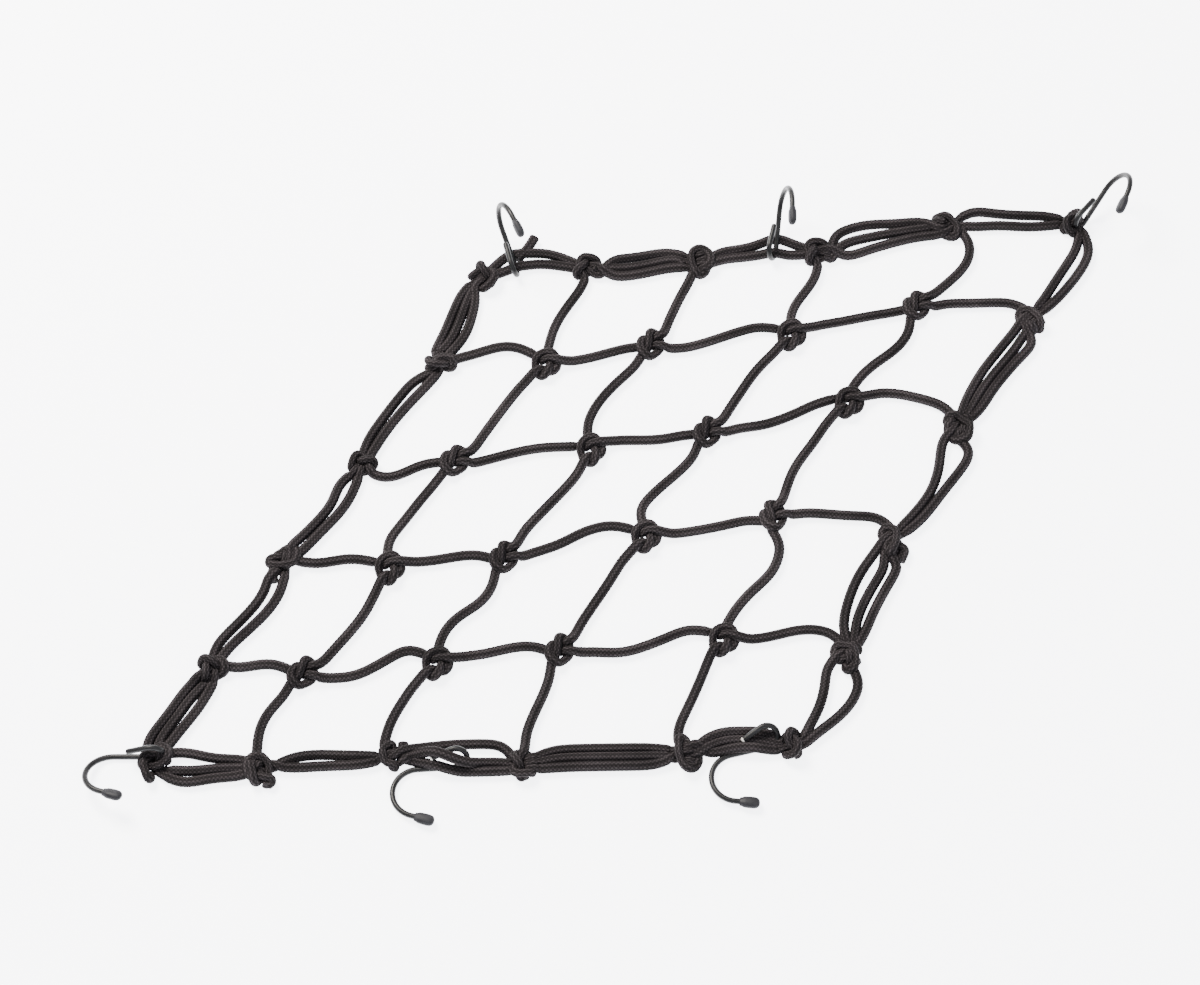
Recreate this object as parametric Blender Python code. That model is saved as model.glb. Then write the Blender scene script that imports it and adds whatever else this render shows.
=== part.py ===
"""Luggage net of elastic cord, laid out slack on a flat surface.

A skewed five by five mesh of elastic cord: a border of two to three strands side by side,
four mesh cords each way, ridged knots where cords meet, and six wire hooks with vinyl tips.
Units are metres, +Z is up, the net lies on z = 0. Tables hold millimetres, turned to metres
by MM where they are read. The origin is the middle of the laid-out net, on the surface.
"""
import math

import bmesh
import bpy
from mathutils import Vector

MM = 0.001

# ------------------------------------------------------------------ driving dimensions, in mm
CORD_DIAMETER = 5.2
CORD_SIDES = 6
GAP = 0.3                      # clearance between solids that touch
CUT_GAP = 0.39                 # clearance cut round a wire, where its flats bend past the cords
FIRST_KNOT = (-90.0, 149.2)    # far left corner of the even lattice
ACROSS = (70.0, 6.0)           # one mesh along a row of knots
ALONG = (-36.0, -66.0)         # one mesh along a column of knots
MESHES = 5

KNOT_HEIGHT = 5.7              # of a knot's middle over the surface
MESH_KNOT = (6.6, 8.2, 6.4)    # half length along its turns' axis, half width, half height
BORDER_KNOT = (8.2, 9.2, 7.2)
TURN_SLANT = 2.0               # how far a mesh knot's turns lean along its axis
KNOT_SIDES = 10
STUB = 13.5                    # mesh cord that belongs to a border knot, from its middle

STRAND_END = 1.5               # a strand starts this far from the middle of its knot
RING_PLACES = (0.0, 0.13, 0.36, 0.64, 0.87, 1.0)   # of a strand's rings, as shares of it
BOW_STATIONS = (0.15, 0.38, 0.62, 0.85)
FLOOR_AXIS = 2.3               # of a strand that lies on the surface
KNOT_AXIS = 5.4                # of a strand where it enters a knot

WIRE_DIAMETER = 2.8
WIRE_SIDES = 6
EYE_RADIUS = 6.2               # of the wire's centre line
EYE_SWEEP = 205.0              # degrees
EYE_LEG = 11.0
SHANK = 21.0
JAW_RADIUS = 14.0
JAW_SWEEP = 160.0              # degrees
JAW_LEG = 2.0
TIP_LENGTH = 11.0
TIP_WIDTH = 6.6
TIP_THICKNESS = 4.2

# How far each knot lies off the even lattice, x and y, rows from the far side, mm
KNOT_SHIFTS = (
    ((4, -8), (-3, -6), (-11, -8), (-8, -8), (0, 7), (2, 0)),
    ((16, 1), (6, -5), (1, 0), (8, 2), (16, 14), (12, 2)),
    ((9, 0), (-5, -5), (-2, -2), (-2, 2), (6, 18), (2, -4)),
    ((6, 5), (-8, -5), (-10, -6), (-5, 3), (1, 9), (-3, -11)),
    ((4, 4), (-14, -5), (-14, -3), (-13, -3), (3, 0), (5, -16)),
    ((15, 13), (3, 5), (0, 6), (3, -5), (18, -4), (7, -4)),
)

# Mesh strands: row or column line, first knot on it, sideways bows at BOW_STATIONS, mm
ROW_BOWS = (
    # line, first, bows
    (1, 0, (3, 7, 12, 10)),
    (1, 1, (-1, -1, 1, 3)),
    (1, 2, (-3, 0, 5, 8)),
    (1, 3, (3, 2, 2, 1)),
    (1, 4, (5, 6, 8, 9)),
    (2, 0, (-8, -7, 0, 3)),
    (2, 1, (0, 3, 5, 4)),
    (2, 2, (5, 3, 1, 3)),
    (2, 3, (1, -2, 0, 4)),
    (2, 4, (8, 12, 12, 10)),
    (3, 0, (-1, 1, 5, 5)),
    (3, 1, (3, 3, 5, 5)),
    (3, 2, (2, 4, 10, 10)),
    (3, 3, (-1, -1, 0, 2)),
    (3, 4, (6, 8, 10, 12)),
    (4, 0, (0, 4, 7, 5)),
    (4, 1, (-2, -3, 4, 11)),
    (4, 2, (3, 3, 6, 6)),
    (4, 3, (0, -3, 2, 8)),
    (4, 4, (0, 5, 12, 12)),
)
COLUMN_BOWS = (
    # line, first, bows
    (1, 0, (2, -1, -3, -1)),
    (1, 1, (-1, -1, 0, 1)),
    (1, 2, (-4, -6, -7, -8)),
    (1, 3, (3, 6, 5, 3)),
    (1, 4, (-3, -10, -12, -8)),
    (2, 0, (3, 1, 1, 0)),
    (2, 1, (-2, -7, -10, -8)),
    (2, 2, (4, 2, -1, -3)),
    (2, 3, (1, 2, -5, -5)),
    (2, 4, (-4, -6, -8, -7)),
    (3, 0, (4, 2, -2, -4)),
    (3, 1, (0, -2, -1, 0)),
    (3, 2, (0, -3, -8, -10)),
    (3, 3, (-2, -1, -1, -1)),
    (3, 4, (-2, -3, -5, -5)),
    (4, 0, (15, 17, 11, 3)),
    (4, 1, (3, 4, -1, -3)),
    (4, 2, (-3, -4, -6, -3)),
    (4, 3, (8, 11, 4, 0)),
    (4, 4, (-2, -3, -5, -7)),
)

# Border strands: side, first knot on it, height over the surface at mid length, bows, mm
BORDER_BOWS = (
    # side, first, ride, bows
    ("far", 0, 0, (8, 13, 14, 6)),
    ("far", 0, 0, (3, 7, 6, 1)),
    ("far", 1, 0, (6, 5, 7, 8)),
    ("far", 1, 3, (-1, -2, 0, 2)),
    ("far", 1, 0, (-7, -7, -4, 0)),
    ("far", 2, 0, (5, 6, 8, 4)),
    ("far", 2, 0, (2, 1, 1, -2)),
    ("far", 3, 0, (10, 12, 8, 5)),
    ("far", 3, 3, (3, 3, 2, 0)),
    ("far", 3, 0, (-7, -5, -4, -4)),
    ("far", 4, 0, (9, 7, 6, 6)),
    ("far", 4, 0, (-3, -1, -2, -1)),
    ("near", 0, 0, (10, 8, 5, 4)),
    ("near", 0, 3, (-2, -1, 1, 2)),
    ("near", 0, 0, (-9, -7, -3, -1)),
    ("near", 1, 0, (6, 7, 5, 3)),
    ("near", 1, 0, (0, 0, -1, -2)),
    ("near", 2, 0, (6, 8, 11, 10)),
    ("near", 2, 3, (2, 3, 5, 5)),
    ("near", 2, 0, (-3, -2, -2, -2)),
    ("near", 3, 0, (8, 8, 6, 5)),
    ("near", 3, 3, (4, 3, 2, 1)),
    ("near", 3, 0, (0, -1, -2, -4)),
    ("near", 4, 0, (8, 9, 10, 9)),
    ("near", 4, 3, (3, 4, 5, 5)),
    ("near", 4, 0, (-3, -1, 0, 2)),
    ("left", 0, 0, (-5, -6, -5, -4)),
    ("left", 0, 3, (-2, -1, 1, 0)),
    ("left", 0, 0, (1, 5, 7, 4)),
    ("left", 1, 0, (-5, -6, -6, -5)),
    ("left", 1, 0, (3, 1, 0, 1)),
    ("left", 2, 0, (-5, 1, 0, -2)),
    ("left", 2, 0, (6, 8, 6, 4)),
    ("left", 3, 0, (-1, 0, -3, -6)),
    ("left", 3, 0, (7, 8, 4, 0)),
    ("left", 4, 0, (-6, -8, -10, -12)),
    ("left", 4, 3, (-2, -3, -5, -7)),
    ("left", 4, 0, (5, 4, 1, -1)),
    ("right", 0, 0, (8, 6, 3, 1)),
    ("right", 0, 0, (15, 15, 11, 6)),
    ("right", 1, 0, (-5, -7, -8, -5)),
    ("right", 1, 3, (1, 0, -2, -1)),
    ("right", 1, 0, (8, 5, 3, 2)),
    ("right", 2, 0, (-6, 1, 4, 2)),
    ("right", 2, 0, (12, 11, 8, 4)),
    ("right", 3, 0, (-8, -12, -12, -9)),
    ("right", 3, 3, (1, -2, -4, -3)),
    ("right", 3, 0, (7, 5, 3, 3)),
    ("right", 4, 0, (-9, -2, 2, 2)),
    ("right", 4, 0, (12, 15, 12, 6)),
)

# Loose cut ends of cord: knot row, knot column, start and end offsets from the knot, mm
CORD_ENDS = (
    # row, column, start x, start y, end x, end y
    (0, 0, 24, 16, 31, 29),
    (5, 1, 1, -2, 2, -9.5),
    (5, 2, 1, 2, 6, 12),
)

# Hooks: the knot beside the eye, the eye's place from that knot and its height, mm; then
# degrees: heading of the shank, its rise, roll of the jaw and of the eye about the shank
HOOKS = (
    # name, row, column, x, y, z, heading, rise, jaw, eye
    ("far_left", 0, 0, 19.5, 11, 2.4, 113, 30, 97, 71),
    ("far_middle", 0, 3, -25, 4, 2.4, 84, 30, 105, 71),
    ("far_right", 0, 5, 8, 3, 2.4, 52, 30, 128, 80),
    ("near_left", 5, 2, 36, -4, 1.7, 184, 0, 4, 120),
    ("near_right", 5, 5, -12.5, 0, 1.7, 194, 0, 4, 135),
    ("left", 5, 0, -3, 7, 1.7, 180, 0, 25, 90),
)


# ------------------------------------------------------------------ small helpers
def knot_place(row, column):
    """Middle of a knot on the surface, in mm."""
    shift_x, shift_y = KNOT_SHIFTS[row][column]
    x = FIRST_KNOT[0] + column * ACROSS[0] + row * ALONG[0] + shift_x
    y = FIRST_KNOT[1] + column * ACROSS[1] + row * ALONG[1] + shift_y
    return Vector((x, y, 0.0))


def smooth_value(places, values, at):
    """Cubic through the values at the places, with slopes from the neighbours."""
    last = len(places) - 1
    index = 0
    while index < last - 1 and at > places[index + 1]:
        index += 1
    slopes = []
    for end in (index, index + 1):
        low = max(end - 1, 0)
        high = min(end + 1, last)
        slopes.append((values[high] - values[low]) / (places[high] - places[low]))
    span = places[index + 1] - places[index]
    t = (at - places[index]) / span
    rise = values[index] * (2 * t**3 - 3 * t**2 + 1) + values[index + 1] * (3 * t**2 - 2 * t**3)
    return rise + span * (slopes[0] * (t**3 - 2 * t**2 + t) + slopes[1] * (t**3 - t**2))


def strand_path(start, end, ride, bows):
    """A function of 0..1 that gives a point of the strand's axis, in mm."""
    chord = end - start
    side = Vector((-chord.y, chord.x, 0.0)).normalized()
    first = max(-3.0, min(3.0, 0.5 * bows[0]))
    last = max(-3.0, min(3.0, 0.5 * bows[-1]))
    places = (0.0,) + BOW_STATIONS + (1.0,)
    offsets = (first,) + tuple(bows) + (last,)
    low = FLOOR_AXIS + ride
    edge = 0.5 * (FLOOR_AXIS + KNOT_AXIS)
    heights = (KNOT_AXIS, max(edge, low), low, low, max(edge, low), KNOT_AXIS)

    def point(at):
        place = start + at * chord + side * smooth_value(places, offsets, at)
        place.z = smooth_value(places, heights, at)
        return place

    return point


def tube(points, ways, radius):
    """Closed tube of cord, each ring square to its way, flat where it meets the surface."""
    mesh = bmesh.new()
    rings = []
    for point, way in zip(points, ways):
        side = way.cross(Vector((0, 0, 1))).normalized()
        up = side.cross(way)
        ring = []
        for step in range(CORD_SIDES):
            angle = 2 * math.pi * step / CORD_SIDES
            place = point + radius * (side * math.cos(angle) + up * math.sin(angle))
            place.z = max(place.z, 0.0)
            ring.append(mesh.verts.new(place * MM))
        rings.append(ring)
    close_rings(mesh, rings)
    return mesh


def close_rings(mesh, rings):
    """Sides between the rings, and a face at each end."""
    sides = len(rings[0])
    for low, high in zip(rings, rings[1:]):
        for step in range(sides):
            after = (step + 1) % sides
            mesh.faces.new((low[step], low[after], high[after], high[step]))
    mesh.faces.new(rings[0][::-1])
    mesh.faces.new(rings[-1])
    bmesh.ops.recalc_face_normals(mesh, faces=mesh.faces)


def make_object(name, mesh, material):
    data = bpy.data.meshes.new(name)
    mesh.to_mesh(data)
    mesh.free()
    data.materials.append(material)
    item = bpy.data.objects.new(name, data)
    bpy.context.scene.collection.objects.link(item)
    return item


def make_material(name, colour, roughness, metallic):
    material = bpy.data.materials.new(name)
    material.use_nodes = True
    shader = material.node_tree.nodes["Principled BSDF"]
    shader.inputs["Base Color"].default_value = (*colour, 1.0)
    shader.inputs["Roughness"].default_value = roughness
    shader.inputs["Metallic"].default_value = metallic
    return material


def fuse(name, meshes, cutters, material):
    """One solid out of many that overlap, less the cutters."""
    pieces = [make_object(f"{name}.{index}", mesh, material) for index, mesh in enumerate(meshes)]
    tools = [make_object(f"{name}.cut{index}", mesh, material) for index, mesh in enumerate(cutters)]
    base = pieces[0]
    for kind, operands in (("UNION", pieces[1:]), ("DIFFERENCE", tools)):
        if not operands:
            continue
        group = bpy.data.collections.new(f"{name}.{kind}")
        for item in operands:
            group.objects.link(item)
        step = base.modifiers.new(kind, "BOOLEAN")
        step.operation = kind
        step.operand_type = "COLLECTION"
        step.collection = group
        step.solver = "EXACT"
    bpy.context.view_layer.update()
    graph = bpy.context.evaluated_depsgraph_get()
    solid = bpy.data.meshes.new_from_object(base.evaluated_get(graph))
    solid.name = name
    for item in pieces + tools:
        bpy.data.objects.remove(item)
    fused = bpy.data.objects.new(name, solid)
    bpy.context.scene.collection.objects.link(fused)
    return fused


# ------------------------------------------------------------------ cord
def knot_solid(place, axis, half_sizes, slant):
    """Ridged knot: three turns of cord side by side round an axis that lies level."""
    half_length, half_width, half_height = half_sizes
    side = Vector((-axis.y, axis.x, 0.0))
    # share of the half length, share of the full girth: ends, three turns, two grooves
    profile = ((-1.0, 0.55), (-0.66, 0.97), (-0.33, 0.84), (0.0, 1.0),
               (0.33, 0.84), (0.66, 0.97), (1.0, 0.55))
    mesh = bmesh.new()
    rings = []
    for along, girth in profile:
        ring = []
        for step in range(KNOT_SIDES):
            angle = 2 * math.pi * step / KNOT_SIDES
            lean = slant * math.cos(angle) * girth
            point = place + axis * (along * half_length + lean)
            point += side * (half_width * girth * math.cos(angle))
            point.z = max(KNOT_HEIGHT + half_height * girth * math.sin(angle), 0.0)
            ring.append(mesh.verts.new(point * MM))
        rings.append(ring)
    close_rings(mesh, rings)
    return mesh


def strand_solid(path, start, end, places=RING_PLACES):
    """Tube along the part of the path from start to end, as shares of it."""
    points, ways = [], []
    for place in places:
        at = start + (end - start) * place
        points.append(path(at))
        ways.append((path(at + 0.01) - path(at - 0.01)).normalized())
    return tube(points, ways, CORD_DIAMETER / 2 * 1.05)


def mesh_ends(kind, line, first):
    """The two knots of a mesh strand, as row and column."""
    if kind == "row":
        return (line, first), (line, first + 1)
    return (first, line), (first + 1, line)


def border_ends(side, first):
    last = MESHES
    return {
        "far": ((0, first), (0, first + 1)),
        "near": ((last, first), (last, first + 1)),
        "left": ((first, 0), (first + 1, 0)),
        "right": ((first, last), (first + 1, last)),
    }[side]


def on_border(knot):
    return knot[0] in (0, MESHES) or knot[1] in (0, MESHES)


def knot_axis(row, column):
    """Direction that a knot's turns go round: the border at an edge, else the column."""
    if column in (0, MESHES) or not on_border((row, column)):
        before, after = (max(row - 1, 0), column), (min(row + 1, MESHES), column)
    else:
        before, after = (row, max(column - 1, 0)), (row, min(column + 1, MESHES))
    return (knot_place(*after) - knot_place(*before)).normalized()


def build_cords(material_border, material_mesh, wire_cutters):
    border, mesh = [], []
    for row in range(MESHES + 1):
        for column in range(MESHES + 1):
            place = knot_place(row, column)
            axis = knot_axis(row, column)
            if on_border((row, column)):
                border.append(knot_solid(place, axis, BORDER_KNOT, 0.0))
            else:
                mesh.append(knot_solid(place, axis, MESH_KNOT, TURN_SLANT))

    for kind, table in (("row", ROW_BOWS), ("column", COLUMN_BOWS)):
        for line, first, bows in table:
            knots = mesh_ends(kind, line, first)
            start, end = (knot_place(*knot) for knot in knots)
            path = strand_path(start, end, 0, bows)
            length = (end - start).length
            low, high = STRAND_END / length, 1 - STRAND_END / length
            if on_border(knots[0]):
                border.append(strand_solid(path, low, STUB / length, (0.0, 1.0)))
                low = (STUB + GAP) / length
            if on_border(knots[1]):
                border.append(strand_solid(path, 1 - STUB / length, high, (0.0, 1.0)))
                high = 1 - (STUB + GAP) / length
            mesh.append(strand_solid(path, low, high))

    for side, first, ride, bows in BORDER_BOWS:
        start, end = (knot_place(*knot) for knot in border_ends(side, first))
        path = strand_path(start, end, ride, bows)
        inset = STRAND_END / (end - start).length
        border.append(strand_solid(path, inset, 1 - inset))

    for row, column, start_x, start_y, end_x, end_y in CORD_ENDS:
        place = knot_place(row, column)
        start = place + Vector((start_x, start_y, KNOT_AXIS - 1))
        end = place + Vector((end_x, end_y, FLOOR_AXIS))
        way = (end - start).normalized()
        border.append(tube([start, end], [way, way], CORD_DIAMETER / 2))

    fuse("border_cord", border, wire_cutters, material_border)
    fuse("mesh_cord", mesh, [], material_mesh)


# ------------------------------------------------------------------ hooks
def hook_frame(heading, rise):
    """Shank, level and upward directions of a hook."""
    turn, climb = math.radians(heading), math.radians(rise)
    shank = Vector((math.cos(turn) * math.cos(climb), math.sin(turn) * math.cos(climb),
                    math.sin(climb)))
    level = Vector((-math.sin(turn), math.cos(turn), 0.0))
    return shank, level, shank.cross(level)


def rolled(level, upward, roll):
    angle = math.radians(roll)
    return level * math.cos(angle) + upward * math.sin(angle)


def hook_line(hook):
    """Centre line of the wire from the tip's seat to the cut end, the way out of the jaw into
    the tip, and the jaw's side."""
    name, row, column, x, y, z, heading, rise, jaw, eye = hook
    foot = knot_place(row, column) + Vector((x, y, z))
    shank, level, upward = hook_frame(heading, rise)
    jaw_way = rolled(level, upward, jaw)
    eye_way = rolled(level, upward, eye)

    def eye_point(angle):
        return foot - shank * EYE_RADIUS * math.sin(angle) + eye_way * EYE_RADIUS * (1 - math.cos(angle))

    sweep = math.radians(EYE_SWEEP)
    leg_way = -shank * math.cos(sweep) + eye_way * math.sin(sweep)
    points = [eye_point(sweep) + leg_way * EYE_LEG]
    for step in range(7, -1, -1):
        points.append(eye_point(sweep * step / 7))

    def jaw_point(angle):
        return (foot + shank * (SHANK + JAW_RADIUS * math.sin(angle))
                + jaw_way * JAW_RADIUS * (1 - math.cos(angle)))

    bend = math.radians(JAW_SWEEP)
    for step in range(9):
        points.append(jaw_point(bend * step / 8))
    way_out = shank * math.cos(bend) + jaw_way * math.sin(bend)
    points.append(jaw_point(bend) + way_out * JAW_LEG)
    return points[::-1], way_out, jaw_way


def wire_tube(points, radius, side):
    """Tube whose cross-section is carried along the bends without twist, from side at its start."""
    mesh = bmesh.new()
    rings = []
    for index, point in enumerate(points):
        before = points[max(index - 1, 0)]
        after = points[min(index + 1, len(points) - 1)]
        forward = (after - before).normalized()
        side = (side - forward * side.dot(forward)).normalized()
        up = forward.cross(side)
        ring = []
        for step in range(WIRE_SIDES):
            angle = 2 * math.pi * step / WIRE_SIDES
            place = point + radius * (side * math.cos(angle) + up * math.sin(angle))
            ring.append(mesh.verts.new(place * MM))
        rings.append(ring)
    close_rings(mesh, rings)
    return mesh


def tip_solid(seat, way, broad):
    """Flattened vinyl tip with a narrow neck and a round end."""
    thin = way.cross(broad).normalized()
    # share of the length, share of the full width
    profile = ((0.0, 0.62), (0.18, 0.72), (0.42, 1.0), (0.8, 1.0), (0.95, 0.72), (1.0, 0.3))
    mesh = bmesh.new()
    rings = []
    for along, girth in profile:
        ring = []
        for step in range(8):
            angle = 2 * math.pi * (step + 0.5) / 8
            place = seat + way * (along * TIP_LENGTH)
            place += broad * (girth * TIP_WIDTH / 2 * math.cos(angle))
            place += thin * (girth * TIP_THICKNESS / 2 * math.sin(angle))
            ring.append(mesh.verts.new(place * MM))
        rings.append(ring)
    close_rings(mesh, rings)
    return mesh


def jaw_normal(way, jaw_way):
    """Square to the plane that the jaw bends in, so that a flat of the wire faces its mouth."""
    return way.cross(jaw_way).normalized()


def build_hooks(wire_material, tip_material):
    for hook in HOOKS:
        points, way, jaw_way = hook_line(hook)
        name = hook[0]
        wire = wire_tube(points, WIRE_DIAMETER / 2, jaw_normal(way, jaw_way))
        make_object(f"hook_{name}", wire, wire_material)
        broad = (jaw_way - way * jaw_way.dot(way)).normalized()
        seat = points[0] + way * GAP
        make_object(f"tip_{name}", tip_solid(seat, way, broad), tip_material)


def hook_cutters():
    """The wire of each hook, thicker and longer by the clearance."""
    cutters = []
    for hook in HOOKS:
        points, way, jaw_way = hook_line(hook)
        points[-1] = points[-1] + (points[-1] - points[-2]).normalized() * 2 * GAP
        side = jaw_normal(way, jaw_way)
        cutters.append(wire_tube(points, WIRE_DIAMETER / 2 + CUT_GAP, side))
    return cutters


def main():
    for item in list(bpy.data.objects):
        bpy.data.objects.remove(item)
    border = make_material("border_elastic_cord", (0.028, 0.025, 0.023), 0.85, 0.0)
    mesh = make_material("mesh_elastic_cord", (0.028, 0.025, 0.023), 0.85, 0.0)
    wire = make_material("coated_wire", (0.03, 0.03, 0.032), 0.4, 0.6)
    tip = make_material("vinyl_tip", (0.06, 0.06, 0.064), 0.55, 0.0)
    build_cords(border, mesh, hook_cutters())
    build_hooks(wire, tip)


main()
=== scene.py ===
"""Dressed luggage net: braided elastic cord, tied knots, coated wire hooks with vinyl tips.

Tables hold millimetres and are turned to metres by MM where a piece is made.
"""

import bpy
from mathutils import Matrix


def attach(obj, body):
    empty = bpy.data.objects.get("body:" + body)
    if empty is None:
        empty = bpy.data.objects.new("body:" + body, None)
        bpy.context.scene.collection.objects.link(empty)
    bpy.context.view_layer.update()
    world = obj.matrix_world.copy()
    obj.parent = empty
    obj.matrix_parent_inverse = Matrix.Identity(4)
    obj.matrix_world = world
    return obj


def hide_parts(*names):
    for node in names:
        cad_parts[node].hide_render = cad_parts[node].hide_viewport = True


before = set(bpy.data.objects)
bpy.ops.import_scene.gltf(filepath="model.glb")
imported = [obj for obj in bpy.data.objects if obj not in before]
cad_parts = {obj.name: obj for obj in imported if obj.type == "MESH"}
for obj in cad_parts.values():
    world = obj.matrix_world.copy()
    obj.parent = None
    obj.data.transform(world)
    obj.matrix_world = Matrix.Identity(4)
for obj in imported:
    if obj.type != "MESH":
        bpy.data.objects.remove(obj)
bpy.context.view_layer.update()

import math
from collections import namedtuple

import bpy
import numpy as np
from mathutils import Vector

MM = 0.001

# ---- the net's layout, mm
FIRST_KNOT = (-90.0, 149.2)
ACROSS = (70.0, 6.0)
ALONG = (-36.0, -66.0)
MESHES = 5
BOW_STATIONS = (0.0, 0.15, 0.38, 0.62, 0.85, 1.0)

CORD_RADIUS = 2.6              # of slack cord
SHEATH_RADIUS = 2.9            # of its fuzzy sheath, which gives where strands touch
KNOT_CORD_RADIUS = 2.35        # of cord drawn tight inside an inner knot
BORDER_KNOT_CORD_RADIUS = 2.2  # the same in a border knot, which is pulled tighter
KNOT_CONTACT = 2.15            # half distance between cords pressed together in an inner knot
BORDER_KNOT_CONTACT = 1.85     # the same in a border knot
BUNDLE_CONTACT = 1.45          # the same for the strands through a border knot
POINT_STEP = 0.9               # between points of a centre line
WIRE_STEP = 1.5                # the same for a hook's wire, which pushes cords away
PORTAL = 15.0                  # from a knot's middle to where its cords run free
PINNED = 4                     # points beyond the portal that a knot holds on to
END_INSIDE = 3.0               # of a strand that stops in a knot, past the knot's middle
TUCKED = 6.0                   # from a knot's middle to a cut tail that is tucked under

# How far each knot lies off the even lattice, x and y, rows from the far side
KNOT_SHIFTS = (
    ((4, -8), (-3, -6), (-11, -8), (-8, -8), (0, 7), (2, 0)),
    ((16, 1), (6, -5), (1, 0), (8, 2), (16, 14), (12, 2)),
    ((9, 0), (-5, -5), (-2, -2), (-2, 2), (6, 18), (2, -4)),
    ((6, 5), (-8, -5), (-10, -6), (-5, 3), (1, 9), (-3, -11)),
    ((4, 4), (-14, -5), (-14, -3), (-13, -3), (3, 0), (5, -16)),
    ((15, 13), (3, 5), (0, 6), (3, -5), (18, -4), (7, -4)),
)

# Mesh strands: sideways bows at the four inner stations, by line, then by mesh
ROW_BOWS = {
    1: ((3, 7, 12, 10), (-1, -1, 1, 3), (-3, 0, 5, 8), (3, 2, 2, 1), (5, 6, 8, 9)),
    2: ((-8, -7, 0, 3), (0, 3, 5, 4), (5, 3, 1, 3), (1, -2, 0, 4), (8, 12, 12, 10)),
    3: ((-1, 1, 5, 5), (3, 3, 5, 5), (2, 4, 10, 10), (-1, -1, 0, 2), (6, 8, 10, 12)),
    4: ((0, 4, 7, 5), (-2, -3, 4, 11), (3, 3, 6, 6), (0, -3, 2, 8), (0, 5, 12, 12)),
}
COLUMN_BOWS = {
    1: ((2, -1, -3, -1), (-1, -1, 0, 1), (-4, -6, -7, -8), (3, 6, 5, 3), (-3, -10, -12, -8)),
    2: ((3, 1, 1, 0), (-2, -7, -10, -8), (4, 2, -1, -3), (1, 2, -5, -5), (-4, -6, -8, -7)),
    3: ((4, 2, -2, -4), (0, -2, -1, 0), (0, -3, -8, -10), (-2, -1, -1, -1), (-2, -3, -5, -5)),
    4: ((15, 17, 11, 3), (3, 4, -1, -3), (-3, -4, -6, -3), (8, 11, 4, 0), (-2, -3, -5, -7)),
}

# Border strands by side and mesh: height over the surface at mid length, or at the four
# inner stations, and the bows
BORDER_BOWS = {
    "far": (
        ((0, (8, 13, 14, 6)), (0, (3, 7, 6, 1))),
        ((0, (6, 5, 7, 8)), (3, (-1, -2, 0, 2)), (0, (-7, -7, -4, 0))),
        ((0, (5, 6, 8, 4)), (0, (2, 1, 1, -2))),
        ((0, (10, 12, 8, 5)), (3, (3, 3, 2, 0)), (0, (-7, -5, -4, -4))),
        ((0, (9, 7, 6, 6)), (0, (-3, -1, -2, -1))),
    ),
    "near": (
        ((0, (10, 8, 5, 4)), (3, (-2, -1, 1, 2)), (0, (-9, -7, -3, -1))),
        ((0, (6, 7, 5, 3)), (0, (0, 0, -1, -2))),
        ((0, (6, 10, 12, 12)), ((4, 13, 6, 0), (3.5, 3.5, 0.5, 3)),
         ((0, 3, 0, 0), (-1, -2, -3, -3))),
        ((0, (8, 8, 6, 5)), (3, (4, 3, 2, 1)), (0, (0, -1, -2, -4))),
        ((0, (8, 9, 10, 9)), (3, (3, 4, 5, 5)), (0, (-3, -1, 0, 2))),
    ),
    "left": (
        ((0, (-5, -6, -5, -4)), (3, (-2, -1, 1, 0)), (0, (1, 5, 7, 4))),
        ((0, (-5, -6, -6, -5)), (0, (3, 1, 0, 1))),
        ((0, (-5, 1, 0, -2)), (0, (6, 8, 6, 4))),
        ((0, (-1, 0, -3, -6)), (0, (7, 8, 4, 0))),
        ((0, (-6, -8, -10, -12)), (3, (-2, -3, -5, -7)), (0, (5, 4, 1, -1))),
    ),
    "right": (
        ((0, (8, 6, 3, 1)), (0, (15, 15, 11, 6))),
        ((0, (-5, -7, -8, -5)), (3, (1, 0, -2, -1)), (0, (8, 5, 3, 2))),
        ((0, (-6, 1, 4, 2)), (0, (12, 11, 8, 4))),
        ((0, (-8, -12, -12, -9)), (3, (1, -2, -4, -3)), (0, (7, 5, 3, 3))),
        ((0, (-9, -2, 2, 2)), (0, (12, 15, 12, 6))),
    ),
}

# How each knot is tied: hand (1 or -1) and roll of its loop in degrees, rows from the far side
KNOT_TIES = (
    ((-1, 315), (-1, 45), (-1, 225), (-1, 40), (-1, 135), (1, 0)),
    ((-1, 0), (1, 108), (1, 305), (1, 116), (1, 290), (1, 225)),
    ((1, 315), (1, 300), (1, 112), (1, 315), (1, 120), (-1, 225)),
    ((-1, 225), (1, 112), (1, 296), (1, 106), (1, 285), (1, 225)),
    ((-1, 315), (1, 320), (1, 114), (1, 305), (1, 110), (1, 225)),
    ((-1, 270), (-1, 270), (-1, 135), (1, 315), (1, 135), (-1, 0)),
)

# Cut tails that show: knot row and column, and the tail's end from the knot's middle
TAILS = {
    (5, 1): (1.5, -8.5),
    (5, 2): (7, 9.5),
    (3, 5): (2, -13),
    (3, 0): (-6, -12),
}
TAIL_STEPS = (0.0, 0.8, 1.6)  # from a tail's end to its held points
LOOSE_END = ((0, 0), (21, 14), (31, 29))  # its knot, and where it leaves and ends from there
LOOSE_BEND = (1, -1, 0)  # of that cord's middle off the straight

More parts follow.
